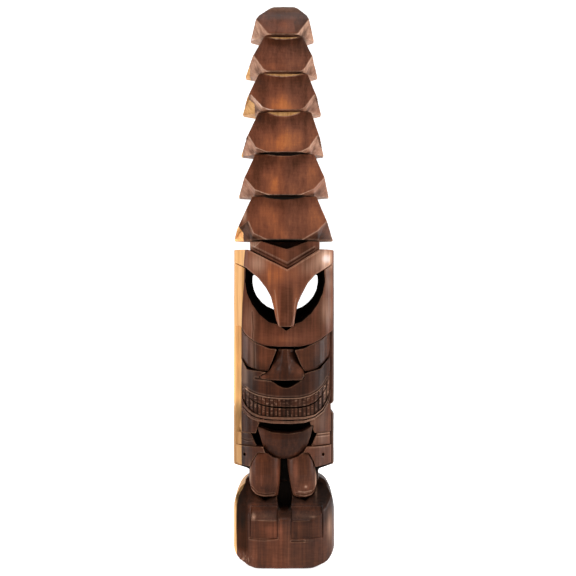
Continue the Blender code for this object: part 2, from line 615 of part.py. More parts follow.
def build_forehead(mat):
    """The neck under the headdress, with a chevron in front of it between the brows."""
    neck = log_column("forehead", NECK_HALF, NECK_DEPTH, SLAB_TOP + GAP, TIERS[-1][1] - GAP)
    hollow = ((-0.044, -0.10), (0.046, -0.10), (0.046, SLAB_FRONT), (-0.044, SLAB_FRONT))
    boolean(neck, plan_prism("hollow", hollow, 0.50, 0.60), "DIFFERENCE")
    wedge = relief("wedge", FOREHEAD, FOREHEAD_FRONT, power=3.0)
    trim = ((-0.2, TIERS[-1][1] - 2 * GAP), (0.2, TIERS[-1][1] - 2 * GAP), (0.2, 0.6), (-0.2, 0.6))
    boolean(wedge, prism("trim", trim, -0.2, 0.2), "DIFFERENCE")
    floor = SLAB_TOP + 2 * GAP
    link = ((-0.0545, floor), (-0.0400, floor), (-0.0400, 0.5260), (-0.0545, 0.5260))
    for outline in (link, mirror(link, 0.0010)):
        boolean(neck, prism("link", outline, -0.0350, -0.0100), "UNION")
    boolean(neck, wedge, "UNION")
    boolean(neck, prism("stop_cut", grow(BROW, GAP), -0.15, SLAB_FRONT), "DIFFERENCE")
    under = ((-0.2, 0.45), (0.2, 0.45), (0.2, SLAB_TOP + GAP), (-0.2, SLAB_TOP + GAP))
    boolean(neck, prism("on_slab", under, SLAB_FRONT - GAP, 0.2), "DIFFERENCE")
    return finish(neck, mat, 12.0)


def build_eye_plate(eye_holes, mat):
    body = relief("eye_plate", EYE_PLATE, EYE_PLATE_FRONT, (BROW, BRIDGE_SHADOW), LOG_HALF_WIDTH, 4.2)
    for hole in eye_holes:
        boolean(body, hole, "DIFFERENCE", keep_tool=True)
    return finish(body, mat)


def build_nose(mat):
    """Keeled above, flaring to two wings over the lip."""
    body = prism("nose", NOSE, -0.10, SLAB_FRONT - GAP)
    rings = []
    for z, keel, wing, front, fall in NOSE_RINGS:
        left = [(BROW_CENTRE - share * wing, -front + back * fall, z) for share, back in NOSE_FALL[::-1]]
        right = [(BROW_CENTRE + share * wing, -front + back * fall, z) for share, back in NOSE_FALL]
        middle = [(BROW_CENTRE - keel, -front, z), (BROW_CENTRE + keel, -front, z)]
        rings.append(left + middle + right)
    boolean(body, loft("nose_flats", rings), "INTERSECT")
    return finish(body, mat, 14.0)


def build_mouth():
    muzzle = relief("upper_lip", MUZZLE, MUZZLE_FRONT, away_from=(CHEEK_LEFT, CHEEK_RIGHT, NOSE, NOSTRILS))
    slit = mouth_slit()
    upper = toothed_band("upper_teeth", UPPER_TEETH, TEETH_FRONT, (MUZZLE, slit), 0.0008, 0.0016)
    lower = toothed_band("lower_teeth", LOWER_TEETH, TEETH_FRONT, (MUZZLE, UPPER_TEETH, slit), 0.0013, 0.0030)
    jaw = relief("lower_jaw", JAW, JAW_FRONT, away_from=(MUZZLE, UPPER_TEETH, LOWER_TEETH))
    boolean(jaw, lip_groove(), "DIFFERENCE")
    return jaw, muzzle, lower, upper


def mouth_slit():
    """A dark slot along the bite, widest in the middle."""
    upper = []
    lower = []
    for x, z in BITE_LINE[2:-3]:
        half = SLIT_HALF * (1 - ((x - 0.0060) / 0.0640) ** 2)
        upper.append((x, z + half))
        lower.append((x, z - half))
    return upper + lower[::-1]


def lip_groove():
    """A gouge line run along the middle of the lip rim."""
    middle = []
    for low, high in zip(CHIN_LINE, GUM_LINE):
        middle.append(((low[0] + high[0]) / 2, (low[1] + high[1]) / 2))
    below = [(x, z - LIP_GROOVE_HALF) for x, z in middle]
    above = [(x, z + LIP_GROOVE_HALF) for x, z in middle]
    groove = prism("groove", below + above[::-1], -0.10, 0.0)
    ring = log_ring(LOG_HALF_WIDTH - 0.0035, JAW_FRONT - LIP_GROOVE_DEPTH)
    boolean(groove, plan_prism("core", ring, 0.20, 0.32), "DIFFERENCE")
    return groove


# ---------------------------------------------------------------- headdress
def cut_corner(body, start, end, bend, tip_x):
    """Take a lower corner off a tier: a chamfer down the front, a valley beside the tip."""
    underside = end[2]
    sy = 1 if end[1] > 0 else -1
    out = 1 if tip_x > 0 else -1
    valley = (end[0] + (tip_x - end[0]) * 0.50, end[1] * 0.48, underside)
    tip = (tip_x + out * 0.0010, sy * 0.0060, underside)
    outside = (tip_x + out * 0.0300, end[1] * 2.2, underside)
    foot = end
    if bend:
        down = (start[2] - underside) / (start[2] - bend[1])
        foot = (start[0] + (bend[0] - start[0]) * down, end[1], underside)
    boolean(body, pyramid(start, (foot, valley, tip, outside)), "DIFFERENCE")
    if bend:
        share = (start[2] - bend[1]) / (start[2] - underside)
        knee = (bend[0], start[1] + (end[1] - start[1]) * share, bend[1])
        beyond = (foot[0] + out * 0.0040, foot[1] * 1.06, underside)
        boolean(body, pyramid(knee, (end, valley, foot, beyond)), "DIFFERENCE")


def pyramid(apex, base):
    """A tapering cutter that starts just proud of its apex and runs through its base."""
    apex = (apex[0] * 1.004, apex[1] * 1.004, apex[2] + 0.0004)
    points = [apex]
    for point in base:
        points.append([a + (p - a) * 1.05 for a, p in zip(apex, point)])
    return hull("corner_cut", points)


def build_tier(index, spec, mat):
    """A flared block: narrow neck above, its lower corners cut away, sharp side tips."""
    name, underside, corner_z, neck, corner, facet, tip, depths = spec
    top = HEIGHT if index == 0 else TIERS[index - 1][1] - GAP
    neck_d, corner_d, front_d = depths
    points = []
    for sy in (-1, 1):
        for side in (0, 1):
            points.append((neck[side], sy * neck_d, top))
            points.append((corner[side], sy * corner_d, corner_z))
            points.append((tip[side], sy * (front_d - 0.002), underside + 0.0015))
            points.append((tip[side] * 0.985, sy * (front_d - 0.0035), underside))
    if index == 0:
        for left, right, depth, z in CROWN:
            points += [(x, y, z) for x in (left, right) for y in (-depth, depth)]
    if index == len(TIERS) - 1:
        points += [(FLANK_CORNER[0], sy * FLANK_CORNER[1], FLANK_CORNER[2]) for sy in (-1, 1)]
    body = hull(name, points)
    for sy in (-1, 1):
        for side in (0, 1):
            start = (corner[side], sy * corner_d, corner_z)
            end = (facet[side], sy * front_d, underside)
            bends = CHAMFER_BENDS[index]
            cut_corner(body, start, end, bends and bends[side], tip[side])
    return finish(body, mat, 4.0)


def build():
    clear_scene()
    wood = material("carved_wood", WOOD, 0.36)
    sap = material("sapwood_edge", SAPWOOD, 0.38)
    dark = material("smoked_wood", DARK_WOOD, 0.40)
    bone = material("toothed_wood", BONE_WOOD, 0.42)
    holes = [hole_cutter(side, EYE_FRONT, EYE_BACK) for side in (-1, 1)]

    build_base(wood)
    build_foot("foot_left", FOOT_LEFT_X, dark)
    build_foot("foot_right", FOOT_RIGHT_X, dark)
    build_leg("leg_left", LEG_LEFT, dark)
    build_leg("leg_right", LEG_RIGHT, dark)
    build_slab(holes, sap)
    build_belly(dark)
    build_arm("left", False, dark, wood)
    build_arm("right", True, dark, wood)
    build_brow(wood)
    build_forehead(wood)
    build_eye_plate(holes, wood)
    beside = (EYE_PLATE, NOSE, CRESCENT)
    finish(relief("cheek_left", CHEEK_LEFT, CHEEK_FRONT, away_from=beside), wood)
    finish(relief("cheek_right", CHEEK_RIGHT, CHEEK_FRONT, away_from=beside), wood)
    build_nose(dark)
    jaw, muzzle, lower, upper = build_mouth()
    finish(jaw, dark)
    finish(muzzle, dark)
    finish(lower, bone)
    finish(upper, bone)
    for index, spec in enumerate(TIERS):
        build_tier(index, spec, wood)
    for hole in holes:
        bpy.data.objects.remove(hole, do_unlink=True)


build()
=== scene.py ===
import json
import math

import bmesh
import bpy
import numpy as np
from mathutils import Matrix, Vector


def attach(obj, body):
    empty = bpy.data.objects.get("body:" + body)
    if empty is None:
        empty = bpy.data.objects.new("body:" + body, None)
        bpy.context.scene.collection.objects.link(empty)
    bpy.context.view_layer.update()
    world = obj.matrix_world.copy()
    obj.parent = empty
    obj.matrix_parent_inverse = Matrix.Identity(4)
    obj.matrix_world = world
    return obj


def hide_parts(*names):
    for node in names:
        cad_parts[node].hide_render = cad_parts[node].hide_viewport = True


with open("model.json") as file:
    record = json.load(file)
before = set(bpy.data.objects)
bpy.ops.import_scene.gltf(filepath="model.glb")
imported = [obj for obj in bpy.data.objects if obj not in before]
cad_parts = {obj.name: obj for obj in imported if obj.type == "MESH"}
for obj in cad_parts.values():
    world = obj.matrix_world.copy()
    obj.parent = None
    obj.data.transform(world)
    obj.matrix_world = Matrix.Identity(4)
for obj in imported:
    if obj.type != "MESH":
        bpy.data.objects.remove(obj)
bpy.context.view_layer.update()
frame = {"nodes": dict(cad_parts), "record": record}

# Metres throughout. Left and right are as seen from the front; the figure faces -Y.
NODES = frame["nodes"]
SLOTS = {s["node"]: s["material_slot"] for s in frame["record"]["subparts"]}
SLAB_FRONT = -0.024            # plane behind the carved relief
FACE_CENTRE = 0.002
CROTCH_CENTRE = 0.0012
FEET_X = ((-0.0530, -0.0100), (0.0115, 0.0615))   # left and right foot, let into the base
FEET_Z = (0.0500, 0.1005)      # bottom and top of the seams round them
STOP_CUT = 0.0003              # gap between neighbouring elements

# Size of the cells each solid is rebuilt from, and how many rounds of smoothing ease its arrises.
CELL = 0.0011
FINE = {"upper_teeth": 0.0007, "lower_teeth": 0.0007, "lower_jaw": 0.0008}
COARSE = {"back_slab": 0.0017, "base_block": 0.0014}
USUAL_ROUNDS = 4
ROUNDS = {
    "upper_teeth": 1, "lower_teeth": 1, "lower_jaw": 2, "base_block": 14, "foot_left": 1, "foot_right": 1,
    "nose": 9, "upper_lip": 8, "belly": 10, "leg_left": 10, "leg_right": 10, "cheek_left": 7,
    "cheek_right": 7, "headdress_tier_1": 6,
}
# Tool marks: how far each kind pushes the surface out and in.
SLOW_WAVE = 0.00055
GOUGE_FLAT = 0.00022
FIBRE = 0.00007
FINE_SHARE = 0.4               # share of the tool marks left on the fine pieces
SANDED_OFF = 0.00025           # taken off all over
SEAM_SWELL = 0.00025           # put back beside the feet, so that their seams nearly close


# ------------------------------------------------------------------ noise
def lattice(ix, iy, iz, seed):
    """Repeatable pseudo-random number in -1..1 for each whole-number cell."""
    h = (ix * 374761393 + iy * 668265263 + iz * 2147483647 + seed * 974634777) & 0xFFFFFFFF
    h = ((h ^ (h >> 13)) * 1274126177) & 0xFFFFFFFF
    h = h ^ (h >> 16)
    return (h & 0xFFFF) / 32767.5 - 1.0


def smooth_noise(points, scale, seed=0):
    """Value noise, -1..1; scale is cells per metre along x, y and z."""
    p = points * np.asarray(scale, float) + 512.0
    cell = np.floor(p).astype(np.int64)
    f = p - cell
    f = f * f * (3 - 2 * f)
    total = np.zeros(len(points))
    for dx in (0, 1):
        wx = f[:, 0] if dx else 1 - f[:, 0]
        for dy in (0, 1):
            wy = f[:, 1] if dy else 1 - f[:, 1]
            for dz in (0, 1):
                wz = f[:, 2] if dz else 1 - f[:, 2]
                total += wx * wy * wz * lattice(cell[:, 0] + dx, cell[:, 1] + dy, cell[:, 2] + dz, seed)
    return total


def ease(value, low, high):
    """Smooth 0..1 step from low to high (either way round)."""
    t = np.clip((value - low) / (high - low), 0.0, 1.0)
    return t * t * (3 - 2 * t)


def bump(x, z, cx, cz, rx, rz):
    """A soft round spot in the front view."""
    return np.exp(-(((x - cx) / rx) ** 2 + ((z - cz) / rz) ** 2))


# ------------------------------------------------------------------ mesh work
def evaluated_mesh(obj):
    graph = bpy.context.evaluated_depsgraph_get()
    return bpy.data.meshes.new_from_object(obj.evaluated_get(graph))


def near_foot_joint(co):
    """1 beside the seams where the feet are let into the base, 0 elsewhere."""
    x, _, z = co.T
    nearest = np.full(len(co), 1.0)
    for low, high in FEET_X:
        aside = np.minimum(np.abs(x - low), np.abs(x - high)) + np.maximum(FEET_Z[0] - z, 0)
        across = np.maximum(low - x, 0) + np.maximum(x - high, 0)
        level = np.minimum(np.abs(z - FEET_Z[0]), np.abs(z - FEET_Z[1])) + across
        nearest = np.minimum(nearest, np.minimum(aside, level))
    in_reach = ease(z, FEET_Z[1] + 0.006, FEET_Z[1] + 0.003)
    return ease(nearest, 0.0050, 0.0025) * in_reach


def dense_copy(node, name, cell, rounds):
    """The CAD solid with its arrises eased, dense enough to carve."""
    obj = bpy.data.objects.new(name, NODES[node].data.copy())
    bpy.context.scene.collection.objects.link(obj)
    obj.data.materials.clear()
    remesh = obj.modifiers.new("remesh", "REMESH")
    remesh.mode = "VOXEL"
    remesh.voxel_size = cell
    crisp = evaluated_mesh(obj)
    soften = obj.modifiers.new("soften", "SMOOTH")
    soften.factor = 0.5
    soften.iterations = rounds
    mesh = evaluated_mesh(obj)
    if node == "base_block":
        sharp = read_points(crisp)
        keep = near_foot_joint(sharp)[:, None]
        write_points(mesh, read_points(mesh) * (1 - keep) + sharp * keep)
    bpy.data.meshes.remove(crisp)
    obj.modifiers.clear()
    obj.data = mesh
    return obj


def read_points(mesh):
    co = np.empty(len(mesh.vertices) * 3, np.float32)
    mesh.vertices.foreach_get("co", co)
    return co.reshape(-1, 3).astype(float)


def read_normals(mesh):
    no = np.empty(len(mesh.vertices) * 3, np.float32)
    mesh.vertex_normals.foreach_get("vector", no)
    return no.reshape(-1, 3).astype(float)


def write_points(mesh, co):
    mesh.vertices.foreach_set("co", co.astype(np.float32).ravel())
    mesh.update()


def write_attribute(mesh, name, values):
    layer = mesh.attributes.new(name, "FLOAT", "POINT")
    layer.data.foreach_set("value", values.astype(np.float32))


def hand_tooled(obj, node):
    """Shallow gouge flats and a slow waviness, as a knife and sanding leave them."""
    mesh = obj.data
    co = read_points(mesh)
    no = read_normals(mesh)
    slow = smooth_noise(co, (22, 22, 14), 3) * SLOW_WAVE
    flats = smooth_noise(co, (90, 90, 45), 11)
    flats = np.sign(flats) * np.abs(flats) ** 0.6 * GOUGE_FLAT
    fibre = smooth_noise(co, (420, 420, 18), 23) * FIBRE
    push = (slow + flats + fibre) * (FINE_SHARE if node in FINE else 1.0) - SANDED_OFF
    if node.startswith("foot"):
        push = np.full(len(co), SEAM_SWELL)
    if node == "base_block":
        beside = near_foot_joint(co)
        push = push * (1 - beside) + SEAM_SWELL * beside
    co += no * push[:, None]
    write_points(mesh, co)


def finish_piece(obj, node, material):
    obj.data.materials.clear()
    obj.data.materials.append(material)
    obj.data.polygons.foreach_set("use_smooth", np.ones(len(obj.data.polygons), bool))
    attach(obj, "root")
    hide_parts(node)


# ------------------------------------------------------------------ colour by place
# Inner edge of the sapwood on the left, as (z, x).
SAP_EDGE = (
    (0.000, -0.0775), (0.060, -0.0770), (0.100, -0.0755), (0.118, -0.0710), (0.130, -0.0640),
    (0.135, -0.0600), (0.150, -0.0690), (0.170, -0.0700), (0.260, -0.0705), (0.380, -0.0700),
    (0.420, -0.0680), (0.450, -0.0660), (0.480, -0.0650), (0.515, -0.0620),
)
# How dark each element was stained.
STAIN = {
    "headdress_tier_1": 0.42, "headdress_tier_2": 0.39, "headdress_tier_3": 0.31,
    "headdress_tier_4": 0.31, "headdress_tier_5": 0.34, "headdress_tier_6": 0.28,
    "forehead": 0.36, "brow_bridge": 0.30, "eye_plate": 0.50, "cheek_left": 0.75, "cheek_right": 0.79,
    "nose": 0.92, "upper_lip": 0.96, "upper_teeth": 0.84, "lower_teeth": 0.80, "lower_jaw": 0.78,
    "upper_arm_left": 0.84, "upper_arm_right": 0.56, "forearm_left": 0.84, "forearm_right": 0.56,
    "hand_left": 0.88, "hand_right": 0.54, "belly": 0.92, "leg_left": 0.74, "leg_right": 0.72,
    "foot_left": 0.66, "foot_right": 0.70, "base_block": 0.76, "back_slab": 0.62,
}
# Warm patches where the stain is thin: x, z, radius across, radius up, strength.
WARM = (
    (-0.006, 0.878, 0.018, 0.012, 0.40), (-0.018, 0.809, 0.016, 0.010, 0.45),
    (0.024, 0.824, 0.014, 0.020, 0.34), (-0.014, 0.748, 0.016, 0.016, 0.62),
    (0.004, 0.742, 0.020, 0.012, 0.40), (-0.008, 0.684, 0.022, 0.016, 0.66),
    (0.020, 0.690, 0.016, 0.020, 0.30), (-0.030, 0.700, 0.010, 0.020, 0.25),
    (-0.013, 0.620, 0.010, 0.022, 0.50), (-0.030, 0.630, 0.010, 0.020, 0.25),
    (0.036, 0.640, 0.016, 0.018, 0.30), (-0.036, 0.578, 0.012, 0.020, 0.55),
    (-0.012, 0.560, 0.010, 0.030, 0.30), (0.040, 0.572, 0.022, 0.026, 0.32),
    (0.000, 0.536, 0.010, 0.008, 0.30), (-0.012, 0.470, 0.010, 0.016, 0.35),
    (-0.024, 0.465, 0.003, 0.018, 0.60), (-0.014, 0.430, 0.004, 0.040, 0.50),
    (0.030, 0.476, 0.016, 0.010, 0.20), (0.000, 0.402, 0.008, 0.010, 0.30),
    (0.000, 0.368, 0.030, 0.007, 0.32), (0.019, 0.157, 0.005, 0.022, 0.70),
    (-0.010, 0.150, 0.005, 0.026, 0.55), (-0.033, 0.140, 0.012, 0.012, 0.25),
    (0.033, 0.130, 0.012, 0.008, 0.30), (0.028, 0.068, 0.014, 0.010, 0.34),
    (-0.020, 0.064, 0.016, 0.010, 0.40), (0.000, 0.058, 0.008, 0.014, 0.18),
    (0.002, 0.044, 0.024, 0.012, 0.16), (0.024, 0.316, 0.009, 0.008, 0.50),
    (-0.018, 0.318, 0.005, 0.012, 0.45), (-0.030, 0.309, 0.008, 0.003, 0.45),
    (-0.040, 0.020, 0.020, 0.016, 0.22), (0.000, 0.016, 0.030, 0.010, 0.14),
    (0.050, 0.345, 0.016, 0.012, 0.22), (-0.040, 0.335, 0.014, 0.010, 0.22),
    (0.000, 0.296, 0.030, 0.010, 0.20),
)
# Painted highlights and sheens where the lights glint, and some spots paler from rubbing: x, z, radius
# across, radius up, strength.
PALE_SPOTS = (
    (-0.0430, 0.4915, 0.0120, 0.0150, 0.65), (0.0700, 0.4990, 0.0150, 0.0130, 1.45),
    (0.0450, 0.4850, 0.0200, 0.0130, 0.30), (0.0740, 0.4600, 0.0060, 0.0140, 0.35),
    (0.0700, 0.4150, 0.0100, 0.0200, 0.35), (-0.0560, 0.4000, 0.0090, 0.0280, 0.20),
    (-0.0500, 0.3400, 0.0040, 0.0300, 0.20), (-0.0490, 0.0835, 0.0028, 0.0040, 0.75),
    (-0.0280, 0.0840, 0.0180, 0.0040, 0.07), (0.0340, 0.0840, 0.0200, 0.0040, 0.05),
    (0.0355, 0.1300, 0.0018, 0.0018, 1.00), (0.0470, 0.0835, 0.0050, 0.0014, 0.22),
    (0.0750, 0.0640, 0.0045, 0.0200, 0.42), (0.0525, 0.1350, 0.0014, 0.0180, 1.10),
    (-0.0550, 0.1500, 0.0022, 0.0160, 0.55), (-0.0500, 0.5200, 0.0045, 0.0055, 0.60),
    (-0.0640, 0.5700, 0.0035, 0.0110, 0.90), (0.0480, 0.2360, 0.0200, 0.0140, 0.16),
    (0.0600, 0.2050, 0.0160, 0.0080, 0.14), (-0.0600, 0.2880, 0.0020, 0.0030, 0.60),
    (0.0690, 0.2820, 0.0030, 0.0100, 0.35),
)
# Crescent at the top of each tier from the second down, standing slightly out of it:
# half-width, drop at the middle, and whether it is pale wood with a painted highlight on the lit ledge (1)
# or painted black shadow under the tier above (0).
CRESCENTS = {
    2: (0.0310, 0.0040, 1), 3: (0.0350, 0.0052, 1), 4: (0.0290, 0.0078, 1),
    5: (0.0330, 0.0040, 0), 6: (0.0380, 0.0058, 0),
}
# How pale each tier's cut corners are painted, left and right: less stained wood and a painted sheen from
# the side lights.
CORNER_TONE = {
    1: (0.72, 0.68), 2: (0.70, 0.56), 3: (0.86, 0.46), 4: (0.56, 0.58), 5: (0.44, 0.26), 6: (0.12, 0.02),
}
# Front arrises of the tiers' cut corners: left, then right.
ARRISES = {
    1: (((-0.0458, 0.8885), (-0.0240, 0.8610)), ((0.0410, 0.8885), (0.0215, 0.8610))),
    2: (((-0.0490, 0.8280), (-0.0330, 0.8050), (-0.0265, 0.8005)), ((0.0465, 0.8280), (0.0330, 0.8050))),
    3: (((-0.0532, 0.7640), (-0.0339, 0.7430), (-0.0205, 0.7380)), ((0.0495, 0.7640), (0.0339, 0.7430))),
    4: (((-0.0575, 0.6975), (-0.0452, 0.6775), (-0.0255, 0.6695)),
        ((0.0545, 0.6975), (0.0404, 0.6775), (0.0245, 0.6695))),
    5: (((-0.0642, 0.6300), (-0.0469, 0.6095), (-0.0225, 0.6005)),
        ((0.0662, 0.6300), (0.0492, 0.6110), (0.0245, 0.6005))),
    6: (((-0.0575, 0.5590), (-0.0490, 0.5395), (-0.0260, 0.5285)),
        ((0.0695, 0.5590), (0.0549, 0.5440), (0.0290, 0.5285))),
}
TIER_UNDERSIDE = {1: 0.8610, 2: 0.8005, 3: 0.7380, 4: 0.6695, 5: 0.6005, 6: 0.5285}
# Where the darkening at each tier's top ends, how far out its tips reach, and its sapwood edge.
TIER_SHADE = {1: 0.912, 2: 0.861, 3: 0.800, 4: 0.738, 5: 0.669, 6: 0.600}
TIER_OUTER = {1: 0.052, 2: 0.060, 3: 0.064, 4: 0.069, 5: 0.074, 6: 0.080}
TIER_SAP = {1: -0.090, 2: -0.0590, 3: -0.0560, 4: -0.0680, 5: -0.0740, 6: -0.0690}
LAST_PALE_TIER = 3             # undersides painted pale down to this tier, with painted bounce light; below it painted black as shadow
LOWEST_TIER = 6
# The sapwood on the lowest tier's left tip: its inner edge, upright up to a bend and leaning out above.
PALE_TIP_EDGE = -0.0665
PALE_TIP_BEND = 0.5420
PALE_TIP_LEAN = 0.75
# How much further the sapwood reaches across the left tip of a tier.
SAP_TIPS = {2: 0.0040, 3: 0.0090}
# Incised lines: (x, z) points, half-width, depth, how black.
STROKES = {
    "base_block": (
        (((0.0125, 0.0456), (0.0220, 0.0453), (0.0325, 0.0457)), 0.0007, 0.0022, 1.0),
        (((0.0325, 0.0457), (0.0450, 0.0462)), 0.0005, 0.0006, 0.4),
        (((-0.0545, 0.0485), (-0.0300, 0.0478), (-0.0110, 0.0500)), 0.0007, 0.0006, 0.5),
    ),
    "eye_plate": (
        (((-0.0515, 0.4130), (-0.0500, 0.3850), (-0.0520, 0.3620)), 0.0006, 0.0006, 0.6),
    ),
    "forehead": (
        (((-0.0500, 0.5164), (0.0056, 0.4880), (0.0500, 0.5153)), 0.0009, 0.0010, 0.5),
    ),
    "cheek_left": ((((-0.0480, 0.3640), (-0.0470, 0.3200)), 0.0006, 0.0005, 0.5),),
    "upper_lip": (
        (((-0.0460, 0.3060), (-0.0340, 0.3046), (-0.0220, 0.3036)), 0.0009, 0.0010, 0.8),
        (((-0.0627, 0.2910), (-0.0546, 0.2852), (-0.0418, 0.2803), (-0.0257, 0.2773), (-0.0096, 0.2757),
          (0.0064, 0.2753), (0.0257, 0.2761), (0.0418, 0.2795), (0.0546, 0.2860), (0.0643, 0.2952),
          (0.0707, 0.3060)), 0.0007, 0.0009, 0.7),
    ),
    "lower_jaw": (
        (((-0.0665, 0.2590), (-0.0580, 0.2506), (-0.0466, 0.2436), (-0.0290, 0.2403), (0.0000, 0.2386),
          (0.0337, 0.2396), (0.0498, 0.2435), (0.0635, 0.2530), (0.0723, 0.2675), (0.0766, 0.2841)),
         0.0007, 0.0008, 0.9),
    ),
    "forearm_right": ((((0.0500, 0.2120), (0.0760, 0.2120)), 0.0006, 0.0006, 0.5),),
    "forearm_left": ((((-0.0700, 0.2060), (-0.0600, 0.2035), (-0.0500, 0.2050)), 0.0006, 0.0006, 0.5),),
    "leg_right": (
        (((0.0200, 0.1185), (0.0330, 0.1160), (0.0450, 0.1190), (0.0500, 0.1240)), 0.0007, 0.0006, 0.5),
    ),
    "leg_left": (
        (((-0.0530, 0.1290), (-0.0430, 0.1190), (-0.0300, 0.1165), (-0.0160, 0.1180)), 0.0007, 0.0006, 0.5),
    ),
}
# Pale lines painted along arrises, rims and ridges, as painted highlights and wear: (x, z) points,
# half-width, strength.
PALE_LINES = {
    "brow_bridge": (
        (((-0.0150, 0.4480), (-0.0128, 0.4320), (-0.0080, 0.3920)), 0.0008, 0.55),
        (((0.0200, 0.4350), (0.0172, 0.4200), (0.0160, 0.3920)), 0.0007, 0.50),
        (((-0.0560, 0.5110), (0.0056, 0.4795), (0.0580, 0.5110)), 0.0008, 0.35),
        (((-0.0790, 0.4935), (-0.0612, 0.4850), (-0.0419, 0.4690), (-0.0290, 0.4530)), 0.0007, 0.30),
        (((0.0386, 0.4610), (0.0499, 0.4738), (0.0795, 0.4918)), 0.0007, 0.30),
    ),
    "forehead": (
        (((-0.0540, 0.5215), (-0.0400, 0.5150), (0.0056, 0.4925), (0.0500, 0.5190)), 0.0008, 0.45),
        (((-0.0360, 0.5285), (-0.0500, 0.5160)), 0.0007, 0.50),
    ),
    "leg_right": (
        (((0.0240, 0.1222), (0.0330, 0.1208), (0.0440, 0.1230)), 0.0010, 0.55),
        (((0.0260, 0.1158), (0.0340, 0.1140), (0.0440, 0.1165)), 0.0008, 0.30),
    ),
    "leg_left": (
        (((-0.0520, 0.1255), (-0.0430, 0.1165), (-0.0310, 0.1140), (-0.0160, 0.1150)), 0.0009, 0.20),
    ),
    "forearm_right": (
        (((0.0500, 0.2145), (0.0760, 0.2145)), 0.0007, 0.45),
        (((0.0520, 0.2095), (0.0760, 0.2095)), 0.0006, 0.35),
    ),
    "hand_right": ((((0.0420, 0.1935), (0.0800, 0.1935)), 0.0007, 0.35),),
    "eye_plate": ((((-0.0660, 0.3790), (-0.0530, 0.3690), (-0.0420, 0.3620)), 0.0007, 0.35),),
    "lower_jaw": (
        (((-0.0590, 0.2455), (-0.0480, 0.2394), (-0.0193, 0.2353), (0.0096, 0.2346), (0.0337, 0.2360),
          (0.0498, 0.2408), (0.0643, 0.2505), (0.0739, 0.2665)), 0.0008, 0.26),
        (((-0.0560, 0.2530), (-0.0440, 0.2462), (-0.0193, 0.2428), (0.0096, 0.2422), (0.0337, 0.2430),
          (0.0498, 0.2462), (0.0627, 0.2556), (0.0707, 0.2685)), 0.0007, 0.26),
    ),
    "upper_lip": (
        (((-0.0627, 0.2888), (-0.0546, 0.2831), (-0.0418, 0.2783), (-0.0257, 0.2754), (-0.0096, 0.2738),
          (0.0064, 0.2734), (0.0257, 0.2742), (0.0418, 0.2775), (0.0546, 0.2839), (0.0643, 0.2928),
          (0.0707, 0.3033)), 0.0008, 0.30),
    ),
    "foot_left": ((((-0.0520, 0.0785), (-0.0110, 0.0785)), 0.0006, 0.25),),
}
# V cuts between the teeth: left edge of the band, pitch, half-width, how black.
TEETH = {"upper_teeth": (-0.0691, 0.006573, 0.0008, 0.7), "lower_teeth": (-0.0690, 0.006577, 0.0013, 0.95)}


def tier_number(node):
    return int(node[-1]) if node.startswith("headdress") else 0


def stroke_distance(x, z, points):
    """Distance in the front view to a run of straight lines."""
    best = np.full(len(x), 1.0)
    for (x0, z0), (x1, z1) in zip(points, points[1:]):
        along = np.array((x1 - x0, z1 - z0))
        share = ((x - x0) * along[0] + (z - z0) * along[1]) / (along @ along)
        share = np.clip(share, 0.0, 1.0)
        best = np.minimum(best, np.hypot(x - x0 - share * along[0], z - z0 - share * along[1]))
    return best


CRESCENT_RISE = 0.0012         # how far a crescent stands out of its tier
CHIP_DEPTH = 0.0016            # deepest chip in the base


def incise(obj, node):
    """Cut the incised lines, raise the crescents' lips and chip the base's lower left corner."""
    mesh = obj.data
    co = read_points(mesh)
    no = read_normals(mesh)
    x, _, z = co.T
    front = ease(-no[:, 1], 0.2, 0.6)
    sink = np.zeros(len(co))
    for points, half, depth, _ in STROKES.get(node, ()):
        sink += depth * np.exp(-(stroke_distance(x, z, points) / half) ** 2)
    tier = tier_number(node)
    if tier in CRESCENTS:
        sink -= CRESCENT_RISE * crescent_mask(x, z, tier)
    if node == "base_block":
        chipped = bump(x, z, -0.064, 0.012, 0.014, 0.012) * CHIP_DEPTH
        sink += chipped * (0.7 + smooth_noise(co, (330, 330, 240), 77))
        front = np.maximum(front, bump(x, z, -0.070, 0.012, 0.014, 0.014))
    co -= no * (sink * front)[:, None]
    write_points(mesh, co)


def crescent_mask(x, z, tier):
    """0..1 inside the crescent under the tier above."""
    half, drop, _ = CRESCENTS[tier]
    top = TIER_UNDERSIDE[tier - 1] - STOP_CUT
    low = top - drop * (1 - (x / half) ** 2)
    return ease(z, low - 0.0005, low + 0.0005) * (np.abs(x) < half)


